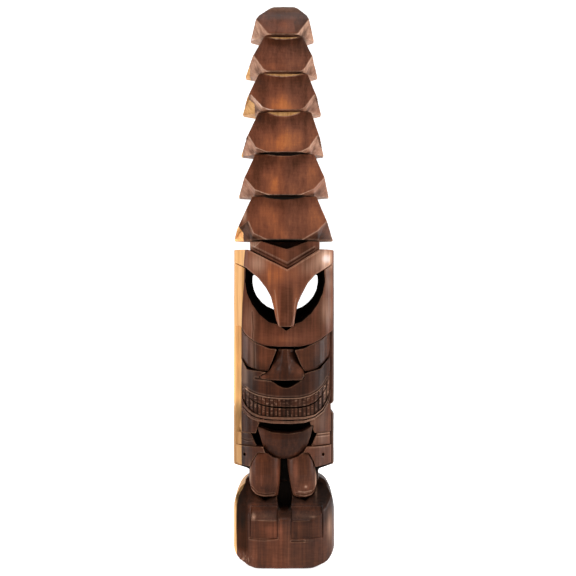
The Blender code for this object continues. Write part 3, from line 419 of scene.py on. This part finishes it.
class Fields:
    """The painted fields of one piece, one number a vertex.

    sap is how far inside the sapwood a point is, stain how dark from staining and painted shade, warm how
    thin the staining, fresh how pale from wear, new cuts and painted highlights, char how black from
    charring and painted shadow, lift a brightening that in places is painted light, and worn how much the
    paler arrises and darker cuts show.
    """

    def __init__(self, mesh, node):
        self.co = read_points(mesh)
        self.x, self.y, self.z = self.co.T
        _, self.ny, self.nz = read_normals(mesh).T
        self.front = ease(-self.ny, 0.2, 0.6)
        count = len(self.co)
        self.wobble = smooth_noise(self.co, (50, 50, 9), 41) * 0.0016
        self.sap = np.interp(self.z, *zip(*SAP_EDGE)) - self.x + self.wobble
        self.stain_and_shade = np.full(count, STAIN[node])
        self.pale_and_highlight = np.zeros(count)
        self.char = np.zeros(count)
        self.warm = np.zeros(count)
        self.lift = np.zeros(count)
        self.edge_wear_and_shading = np.ones(count)

    def spot(self, cx, cz, rx, rz):
        return bump(self.x, self.z, cx, cz, rx, rz)

    def noise(self, cells, seed):
        return smooth_noise(self.co, cells, seed)

    def blacken(self, amount):
        self.char = np.maximum(self.char, amount)

    def write(self, mesh):
        write_attribute(mesh, "sap", self.sap)
        write_attribute(mesh, "stain_and_shade", self.stain_and_shade)
        write_attribute(mesh, "pale_and_highlight", np.clip(self.pale_and_highlight, 0.0, 2.0))
        write_attribute(mesh, "char", np.clip(self.char, 0.0, 1.0))
        write_attribute(mesh, "warm", self.warm)
        write_attribute(mesh, "lift", self.lift)
        write_attribute(mesh, "edge_wear_and_shading", self.edge_wear_and_shading)


def paint_marks(f, node):
    """Warm patches, pale spots (mostly painted highlights), the lines cut into this piece, and the pale
    lines painted on it as highlights and wear.
    """
    for cx, cz, rx, rz, strength in WARM:
        f.warm += strength * f.spot(cx, cz, rx, rz) * f.front
    # pale spots: mostly painted highlights and sheens
    for cx, cz, rx, rz, strength in PALE_SPOTS:
        f.pale_and_highlight += strength * f.spot(cx, cz, rx, rz) * f.front
    for points, half, _, black in STROKES.get(node, ()):
        near = stroke_distance(f.x, f.z, points)
        f.blacken(black * np.exp(-(near / half) ** 2) * f.front)
        # a painted highlight beside each incised line
        f.pale_and_highlight += 0.15 * np.exp(-((near - 2.6 * half) / half) ** 2) * f.front
    # pale lines painted along arrises and rims as highlights and wear
    for points, half, strength in PALE_LINES.get(node, ()):
        f.pale_and_highlight += strength * np.exp(-(stroke_distance(f.x, f.z, points) / half) ** 2) * f.front


def paint_corners(f, tier, corner, under):
    """The cut corners, pale and patchy: less stained wood and a painted sheen from the side lights, with
    painted shade in the middle hollow, painted highlights on the arris and on the tips' lower rim, and a
    painted shadow line under the front.
    """
    left, right = CORNER_TONE[tier]
    patchy = 1.0 + 0.50 * f.noise((160, 160, 90), 61 + tier)
    low = TIER_UNDERSIDE[tier]
    outer = TIER_OUTER[tier]
    across = np.abs(f.x)
    arris = np.full(len(f.co), 1.0)
    for points in ARRISES[tier]:
        arris = np.minimum(arris, stroke_distance(f.x, f.z, points))
    hollow = ease(across, outer - 0.010, outer - 0.018) * ease(f.z, low + 0.019, low + 0.008)
    hollow *= ease(arris, 0.0020, 0.0055) * (0.75 + 0.45 * f.noise((220, 220, 120), 71 + tier))
    # painted sheen from the side lights on the corners, over less stained wood, kept out of the hollow
    f.pale_and_highlight += corner * (1 - under) * np.where(f.x < 0, left, right) * patchy * (1 - 0.85 * hollow)
    f.pale_and_highlight += 0.25 * ease(across, outer - 0.008, outer) * corner
    # painted shade in the corner hollow
    f.stain_and_shade += 0.25 * corner * hollow
    # painted highlight along the arris
    f.pale_and_highlight += 0.45 * np.exp(-(arris / 0.0009) ** 2) * f.front
    # painted highlight on the tips' lower rim, and a painted shadow line under the middle of the front
    f.pale_and_highlight += 0.25 * ease(f.z, low + 0.0040, low + 0.0015) * ease(across, 0.035, 0.045)
    f.stain_and_shade += 0.35 * ease(f.z, low + 0.0030, low + 0.0008) * ease(across, 0.036, 0.026)


def paint_tier(f, tier):
    """A headdress tier: its sapwood tip, corners, underside, darker top and crescent."""
    across = np.abs(f.x)
    f.sap = TIER_SAP[tier] - f.x + f.wobble
    corner = ease(-f.nz, 0.06, 0.30)
    under = ease(-f.nz, 0.80, 0.95)
    if tier in SAP_TIPS:
        tip = corner * ease(f.z, TIER_UNDERSIDE[tier] + 0.022, TIER_UNDERSIDE[tier] + 0.012)
        f.sap += SAP_TIPS[tier] * tip
        f.lift -= 0.15 * tip * ease(f.sap, -0.001, 0.001)
    paint_corners(f, tier, corner, under)
    if tier == 1:
        # painted sheen: the cap's top painted paler where it catches the overhead light
        f.pale_and_highlight += 0.22 * ease(f.z, 0.897, 0.909)
    # undersides: pale wood with painted bounce light from the floor down to the last pale tier, painted
    # black as shadow below it, paler at the outer ends
    if tier <= LAST_PALE_TIER:
        f.pale_and_highlight = np.maximum(f.pale_and_highlight, under * ease(across, 0.030, 0.042))
        f.lift += 0.6 * under
    else:
        f.char = under * ease(across, 0.052, 0.030)
        f.pale_and_highlight += under * ease(across, 0.040, 0.060) * 0.4
    top = TIER_SHADE[tier]
    f.stain_and_shade += 0.20 * ease(f.z, top - 0.040, top - 0.010) * (1 - corner)
    # crescents: pale wood with a painted highlight on the lit ledge, or painted black as the shadow under
    # the tier above
    if tier in CRESCENTS:
        inside = crescent_mask(f.x, f.z, tier) * f.front
        if CRESCENTS[tier][2]:
            f.sap = f.sap * (1 - inside) + 0.0030 * inside
            f.lift -= 0.06 * inside
        else:
            f.blacken(inside)
    if tier == LOWEST_TIER:
        pale_tip = (PALE_TIP_EDGE - f.x) - PALE_TIP_LEAN * np.maximum(f.z - PALE_TIP_BEND, 0.0)
        # painted light: the sapwood tip brightened against the shade of its facet
        f.lift += 0.75 * ease(pale_tip, -0.0002, 0.0004) * (f.x < 0)
        f.sap = np.where(f.x < 0, pale_tip, -0.02)
        # painted shade on the lowest tier's corners
        f.stain_and_shade += 0.4 * corner


def paint_slab(f):
    """The uncut log: painted black as shadow where the relief stands in front of it, darker down its right
    side.
    """
    hidden = ease(-f.ny, 0.5, 0.8) * ease(f.y, SLAB_FRONT + 0.002, SLAB_FRONT + 0.0005)
    f.char = hidden * ease(np.abs(f.x), 0.0705, 0.0685)
    f.stain_and_shade += 0.35 * ease(f.x, 0.060, 0.070)


def paint_eye_walls(f):
    """The walls of the eye holes, black above and a little browner low down."""
    wall = ease(np.abs(f.ny), 0.75, 0.45) * ease(np.abs(f.x - FACE_CENTRE), 0.0700, 0.0680)
    wall *= ease(f.z, 0.380, 0.385) * ease(f.z, 0.500, 0.495)
    f.blacken(wall * (0.88 + 0.12 * ease(f.z, 0.420, 0.450)))


def paint_brow(f):
    """Black under the wings, and a darker keel down the bridge."""
    wall = ease(np.abs(f.ny), 0.50, 0.30) * ease(f.nz, 0.3, -0.1) * ease(np.abs(f.x), 0.066, 0.058)
    f.blacken(wall * ease(f.z, 0.500, 0.490))
    f.stain_and_shade += 0.34 * ease(np.abs(f.x - 0.005), 0.013, 0.008) * ease(f.z, 0.470, 0.430)


def paint_forehead(f):
    """Painted black shadow on the ledge under the headdress, and a pale spot at its left corner."""
    f.blacken(ease(f.nz, 0.3, 0.6) * ease(f.y, -0.030, -0.040))
    f.pale_and_highlight += 0.4 * f.spot(-0.0480, 0.5240, 0.0060, 0.0050)


def paint_teeth(f, node):
    """Black V cuts, with pale cross hatching between them."""
    start, pitch, half, black = TEETH[node]
    gap = np.abs(((f.x - start) / pitch + 0.5) % 1.0 - 0.5) * pitch
    f.blacken(black * np.exp(-(gap / half) ** 2) * f.front)
    hatch = f.noise((260, 260, 900), 95)
    f.pale_and_highlight += 0.34 * ease(hatch, 0.1, 0.6) * ease(gap, half, 1.8 * half)


def paint_base(f):
    """Scorched on the left, painted black as shadow in the crotch, painted dark on the shelf under the legs
    and between the feet, chipped at the lower left.
    """
    aside = np.abs(f.x - CROTCH_CENTRE)
    # painted shadow: the back of the crotch notch painted black
    hollow = ease(aside, 0.0120, 0.0098) * ease(f.z, 0.0890, 0.0945)
    f.blacken(hollow * 0.96 * ease(f.y, SLAB_FRONT + 0.004, SLAB_FRONT))
    scorched = ease(f.x, -0.0540, -0.0640) * ease(f.z, 0.018, 0.035) * f.front
    f.blacken(scorched * (0.72 + 0.28 * f.noise((90, 90, 40), 91)))
    flecks = ease(f.noise((420, 420, 300), 93), 0.0, 0.5)
    f.pale_and_highlight += 0.5 * f.spot(-0.062, 0.011, 0.010, 0.009) * flecks
    f.stain_and_shade += 0.20 * f.spot(0.066, 0.085, 0.010, 0.030)
    # the upward-facing shelf under the legs and the top between the feet painted dark
    shelf = ease(f.nz, 0.35, 0.75) * ease(f.z, 0.090, 0.110) * ease(f.sap, 0.0005, -0.0005)
    f.blacken(0.50 * shelf * ease(f.y, 0.030, 0.010))
    f.blacken(0.45 * ease(aside, 0.0115, 0.0100) * ease(f.z, 0.0800, 0.0840))
    f.lift += 0.35 * ease(f.z, 0.100, 0.090)


def paint(obj, node):
    """Where the wood is sapwood, how stained and painted in shade, warm, pale with wear and painted
    highlights, and black with charring and painted shadow.
    """
    f = Fields(obj.data, node)
    paint_marks(f, node)
    if tier_number(node):
        paint_tier(f, tier_number(node))
    if node == "back_slab":
        paint_slab(f)
    if node in ("eye_plate", "back_slab"):
        paint_eye_walls(f)
    if node == "brow_bridge":
        paint_brow(f)
    if node == "forehead":
        paint_forehead(f)
    if node == "upper_lip":
        f.pale_and_highlight += 0.20 * ease(f.x, -0.055, -0.062) * ease(f.z, 0.292, 0.300)
    if node in TEETH:
        paint_teeth(f, node)
    if node == "base_block":
        paint_base(f)
    if node in ("foot_left", "foot_right", "base_block"):
        f.stain_and_shade += 0.16 * ease(f.z, 0.060, 0.090)
        f.edge_wear_and_shading = 1 - near_foot_joint(f.co)
    ahead = ease(f.y, 0.020, -0.010)
    # painted light: the slab's sapwood strip above the arms brightened against the shade of its recess
    if node == "back_slab":
        f.lift += 0.45 * ease(f.z, 0.255, 0.275) * ahead
    # the sapwood is duller beside the arms
    beside_arms = ease(f.z, 0.270, 0.240) * ease(f.z, 0.130, 0.160)
    f.lift -= 0.35 * beside_arms * ease(f.x, -0.060, -0.068) * ahead
    f.write(obj.data)


# ------------------------------------------------------------------ materials
class Nodes:
    """Short-hand for building a node tree."""

    def __init__(self, name):
        self.material = bpy.data.materials.new(name)
        self.material.use_nodes = True
        self.tree = self.material.node_tree
        self.shader = self.tree.nodes["Principled BSDF"]

    def add(self, kind, inputs=None, **settings):
        node = self.tree.nodes.new(kind)
        for key, value in settings.items():
            setattr(node, key, value)
        for key, value in (inputs or {}).items():
            self.put(node.inputs[key], value)
        return node

    def put(self, socket, value):
        if isinstance(value, bpy.types.NodeSocket):
            self.tree.links.new(value, socket)
        else:
            socket.default_value = value

    def math(self, operation, a, b=0.0, c=0.0, clamp=False):
        node = self.add("ShaderNodeMath", operation=operation, use_clamp=clamp)
        for socket, value in zip(node.inputs, (a, b, c)):
            self.put(socket, value)
        return node.outputs[0]

    def sum(self, *terms):
        """Sum of (value, weight) pairs."""
        total = 0.0
        for value, weight in terms:
            total = self.math("MULTIPLY_ADD", value, weight, total)
        return total

    def field(self, name):
        return self.add("ShaderNodeAttribute", attribute_name=name).outputs["Fac"]

    def noise(self, vector, scale, detail=2.0, rough=0.5, distortion=0.0):
        inputs = {
            "Vector": vector, "Scale": scale, "Detail": detail, "Roughness": rough, "Distortion": distortion,
        }
        return self.add("ShaderNodeTexNoise", inputs).outputs["Fac"]

    def stretch(self, vector, scale, offset=(0, 0, 0)):
        node = self.add("ShaderNodeMapping", {"Vector": vector, "Scale": scale, "Location": offset})
        return node.outputs[0]

    def ramp(self, factor, stops):
        node = self.add("ShaderNodeValToRGB", {"Fac": factor})
        ramp = node.color_ramp
        while len(ramp.elements) < len(stops):
            ramp.elements.new(0.5)
        for element, (place, colour) in zip(ramp.elements, stops):
            element.position = place
            element.color = (*colour, 1.0)
        return node.outputs["Color"]

    def step(self, value, low, high):
        """Smooth 0..1 step from low to high."""
        inputs = {"Value": value, "From Min": low, "From Max": high}
        return self.add("ShaderNodeMapRange", inputs, interpolation_type="SMOOTHSTEP").outputs[0]

    def mix(self, factor, a, b, blend="MIX"):
        node = self.add("ShaderNodeMix", data_type="RGBA", blend_type=blend)
        self.put(node.inputs[0], factor)
        self.put(node.inputs[6], a if isinstance(a, bpy.types.NodeSocket) else (*a, 1.0))
        self.put(node.inputs[7], b if isinstance(b, bpy.types.NodeSocket) else (*b, 1.0))
        return node.outputs[2]


# Colours of the wood, by tone from dark to light.
HEARTWOOD = (
    (0.05, (0.010, 0.0038, 0.0022)),
    (0.25, (0.034, 0.0108, 0.0052)),
    (0.42, (0.080, 0.0238, 0.0102)),
    (0.56, (0.145, 0.0440, 0.0215)),
    (0.70, (0.235, 0.0710, 0.0300)),
    (0.84, (0.365, 0.1090, 0.0340)),
    (1.00, (0.510, 0.1680, 0.0520)),
)
# Pale salmon for wear and new cuts, and for painted sheens and highlights.
PALE_AND_SHEEN_WOOD = (
    (0.30, (0.200, 0.100, 0.062)),
    (0.50, (0.420, 0.235, 0.155)),
    (0.68, (0.600, 0.370, 0.260)),
)
SAPWOOD = (
    (0.30, (0.360, 0.160, 0.055)),
    (0.48, (0.600, 0.310, 0.115)),
    (0.70, (0.760, 0.450, 0.190)),
)
# Tints: a painted sheen greying the right half, a painted glare, the sapwood's dark rim, pale arrises where
# polish wore off with a painted highlight, dark staining with painted shade in the cuts, and soot with
# painted shadow.
COOL_TINT = (0.96, 1.12, 1.30)
PAINTED_GLARE = (0.88, 0.80, 0.78)
SAP_RIM = (0.050, 0.020, 0.014)
WORN_ARRIS_AND_HIGHLIGHT = (0.46, 0.25, 0.15)
DARK_CUT = (0.010, 0.006, 0.005)
SOOT_AND_SHADOW = ((0.006, 0.005, 0.004), (0.016, 0.012, 0.010))
SPECULAR = 0.08


def wood(name, rough, coat, seed=0.0):
    """One log's wood, worked out from the place in the log and the painted fields."""
    n = Nodes(name)
    place = n.add("ShaderNodeTexCoord").outputs["Object"]
    split = n.add("ShaderNodeSeparateXYZ", {"Vector": place})
    x = split.outputs[0]
    names = ("sap", "stain_and_shade", "pale_and_highlight", "char", "warm", "lift", "edge_wear_and_shading")
    sap, stain_and_shade, pale_and_highlight, char, warm, lift, edge_wear_and_shading = (n.field(field) for field in names)

    streak = n.noise(n.stretch(place, (210, 210, 5.0), (seed, 0.3, 0.0)), 1.0, 4.0, 0.62, 0.20)
    fine = n.noise(n.stretch(place, (950, 950, 26)), 1.0, 3.0, 0.6)
    broad = n.noise(n.stretch(place, (38, 38, 5), (3.1, 0.7, 0.2)), 1.0, 3.0, 0.55)
    blotch = n.noise(n.stretch(place, (24, 24, 19), (0.4, 5.2, 1.7)), 1.0, 3.0)
    across = n.noise(n.stretch(place, (70, 70, 420), (1.4, 2.2, 0.1)), 1.0, 2.0)

    # left of the middle is warmer, right of it greyer: the grey is a painted sheen from the right-hand light
    side = n.step(x, -0.006, 0.010)
    tone = n.sum((streak, 0.34), (fine, 0.18), (broad, 0.50), (blotch, 0.34), (across, 0.12),
                 (warm, 0.34), (stain_and_shade, -0.50))
    tone = n.math("ADD", tone, -0.03)
    heart = n.ramp(tone, HEARTWOOD)
    grey = n.mix(1.0, heart, COOL_TINT, "MULTIPLY")
    heart = n.mix(n.math("MULTIPLY", side, 0.60), heart, grey)
    # paler with wear and new cuts and with painted sheens and highlights, turning to a painted glare where
    # strongest
    salmon = n.ramp(n.sum((streak, 0.6), (fine, 0.4)), PALE_AND_SHEEN_WOOD)
    heart = n.mix(n.math("MINIMUM", pale_and_highlight, 1.0), heart, salmon)
    glare_amount = n.math("SUBTRACT", pale_and_highlight, 1.0, clamp=True)
    heart = n.mix(glare_amount, heart, PAINTED_GLARE)
    pale = n.ramp(n.sum((streak, 0.7), (fine, 0.3)), SAPWOOD)
    ragged = n.sum((streak, 0.0024), (fine, 0.0012))
    depth = n.math("ADD", sap, n.math("SUBTRACT", ragged, 0.0018))
    edge = n.step(depth, -0.0004, 0.0006)
    rim = n.step(depth, -0.0050, -0.0004)
    heart = n.mix(n.math("MULTIPLY", rim, 0.35), heart, SAP_RIM)
    colour = n.mix(edge, heart, pale)
    colour = n.mix(1.0, colour, n.math("ADD", lift, 1.0), "MULTIPLY")

    # paler where the polish wore off the arrises, with a painted highlight on them; darker where staining
    # lies in the cuts, with painted shade in them
    point = n.add("ShaderNodeNewGeometry").outputs["Pointiness"]
    arris_wear_and_highlight = n.math("MULTIPLY", n.step(point, 0.515, 0.570), n.math("MULTIPLY", edge_wear_and_shading, 0.38))
    colour = n.mix(arris_wear_and_highlight, colour, WORN_ARRIS_AND_HIGHLIGHT)
    cut = n.math("MULTIPLY", n.step(point, 0.488, 0.440), n.math("MULTIPLY_ADD", edge_wear_and_shading, 0.75, 0.05))
    colour = n.mix(cut, colour, DARK_CUT)
    # soot black for charring and for painted shadow
    colour = n.mix(char, colour, n.mix(fine, *SOOT_AND_SHADOW))

    n.put(n.shader.inputs["Base Color"], colour)
    dull = n.math("MULTIPLY", char, 0.35)
    n.put(n.shader.inputs["Roughness"], n.math("ADD", n.math("MULTIPLY_ADD", fine, 0.16, rough), dull))
    # charred wood, and the parts painted black as shadow, have no gloss, so they don't mirror the lights at
    # a grazing angle
    specular = n.math("MULTIPLY_ADD", char, -2.25 * SPECULAR, SPECULAR, clamp=True)
    n.put(n.shader.inputs["Specular IOR Level"], specular)
    n.put(n.shader.inputs["Coat Weight"], n.math("MULTIPLY_ADD", char, -2.2 * coat, coat, clamp=True))
    n.put(n.shader.inputs["Coat Roughness"], 0.22)

    relief = n.sum((fine, 0.45), (streak, 0.55))
    body = n.add("ShaderNodeBump", {"Height": relief, "Strength": 0.45, "Distance": 0.0005})
    n.put(n.shader.inputs["Normal"], body.outputs[0])
    film = n.add("ShaderNodeBump", {"Height": relief, "Strength": 0.25, "Distance": 0.0004})
    n.put(n.shader.inputs["Coat Normal"], film.outputs[0])
    return n.material


# ------------------------------------------------------------------ the figure
MATERIALS = {
    "carved_wood": wood("carved_wood", 0.36, 0.12),
    "smoked_wood": wood("smoked_wood", 0.38, 0.06, 2.0),
    "toothed_wood": wood("toothed_wood", 0.40, 0.06),
    "sapwood_edge": wood("log_wood", 0.40, 0.08),
}


def build_figure():
    for node in sorted(NODES):
        cell = FINE.get(node) or COARSE.get(node, CELL)
        obj = dense_copy(node, "carved_" + node, cell, ROUNDS.get(node, USUAL_ROUNDS))
        hand_tooled(obj, node)
        incise(obj, node)
        paint(obj, node)
        finish_piece(obj, node, MATERIALS[SLOTS[node]])


build_figure()


# ------------------------------------------------------------------ studio
FLOOR_HALF = 6.0
FLOOR_START = -1.4             # front edge, short so that it throws little light under the figure
FLOOR_END = 2.2
SWEEP = 1.4                    # radius of the curve up into the wall
SWEEP_STEPS = 8
WALL_TOP = 6.0
FLOOR_GLOW = 0.35
FLOOR_GLOW_SEEN = 0.40         # added for the camera only


def build_floor():
    """A white sheet swept up behind the figure."""
    bm = bmesh.new()
    profile = [(FLOOR_START, 0.0), (FLOOR_END, 0.0)]
    for i in range(1, SWEEP_STEPS + 1):
        t = math.pi / 2 * i / SWEEP_STEPS
        profile.append((FLOOR_END + SWEEP * math.sin(t), SWEEP * (1 - math.cos(t))))
    profile.append((FLOOR_END + SWEEP, WALL_TOP))
    rows = [[bm.verts.new((x, y, z)) for y, z in profile] for x in (-FLOOR_HALF, FLOOR_HALF)]
    for i in range(len(profile) - 1):
        bm.faces.new((rows[0][i], rows[1][i], rows[1][i + 1], rows[0][i + 1]))
    mesh = bpy.data.meshes.new("floor")
    bm.to_mesh(mesh)
    bm.free()
    mesh.polygons.foreach_set("use_smooth", np.ones(len(mesh.polygons), bool))
    floor = bpy.data.objects.new("floor", mesh)
    bpy.context.scene.collection.objects.link(floor)
    floor.location.z = -0.0005
    n = Nodes("floor_paper")
    n.put(n.shader.inputs["Base Color"], (0.90, 0.90, 0.90, 1.0))
    n.put(n.shader.inputs["Roughness"], 0.85)
    n.put(n.shader.inputs["Specular IOR Level"], 0.1)
    n.put(n.shader.inputs["Emission Color"], (1.0, 1.0, 1.0, 1.0))
    seen = n.add("ShaderNodeLightPath").outputs["Is Camera Ray"]
    n.put(n.shader.inputs["Emission Strength"], n.math("MULTIPLY_ADD", seen, FLOOR_GLOW_SEEN, FLOOR_GLOW))
    floor.data.materials.append(n.material)


def area_light(name, place, size, power):
    """A soft box turned to the figure's middle."""
    data = bpy.data.lights.new(name, "AREA")
    data.shape = "RECTANGLE"
    data.size, data.size_y = size
    data.energy = power
    light = bpy.data.objects.new(name, data)
    light.location = place
    light.rotation_euler = (Vector(LIGHTS_AIM) - Vector(place)).to_track_quat("-Z", "Y").to_euler()
    bpy.context.scene.collection.objects.link(light)


LIGHTS_AIM = (0, 0, 0.5)
SENSOR = 36.0                  # millimetres
CAMERA_DISTANCE = 1.72
CAMERA_HEIGHT = 0.4515
CAMERA_SIDE = 0.0067
WORLD_LIGHT = 0.18             # the camera sees the world at full white
FRAME_AT_AXIS = 0.96192        # width and height of view in the plane of the log's axis


def build_studio():
    world = bpy.data.worlds.new("studio")
    world.use_nodes = True
    tree = world.node_tree
    seen = tree.nodes.new("ShaderNodeLightPath").outputs["Is Camera Ray"]
    strength = tree.nodes.new("ShaderNodeMapRange")
    strength.inputs["To Min"].default_value = WORLD_LIGHT
    strength.inputs["To Max"].default_value = 1.0
    tree.links.new(seen, strength.inputs["Value"])
    tree.nodes["Background"].inputs["Color"].default_value = (1.0, 1.0, 1.0, 1.0)
    tree.links.new(strength.outputs["Result"], tree.nodes["Background"].inputs["Strength"])
    bpy.context.scene.world = world
    area_light("left_box", (-1.5, -0.55, 0.65), (0.7, 1.5), 26)
    area_light("right_box", (1.5, -0.45, 0.65), (0.6, 1.5), 30)
    area_light("top_box", (0.0, -0.6, 2.4), (1.2, 0.9), 20)
    data = bpy.data.cameras.new("camera")
    data.sensor_width = SENSOR
    data.lens = SENSOR * CAMERA_DISTANCE / FRAME_AT_AXIS
    camera = bpy.data.objects.new("camera", data)
    camera.location = (CAMERA_SIDE, -CAMERA_DISTANCE, CAMERA_HEIGHT)
    camera.rotation_euler = (math.pi / 2, 0, 0)
    bpy.context.scene.collection.objects.link(camera)
    bpy.context.scene.camera = camera
    bpy.context.scene.view_settings.view_transform = "Standard"


build_floor()
build_studio()
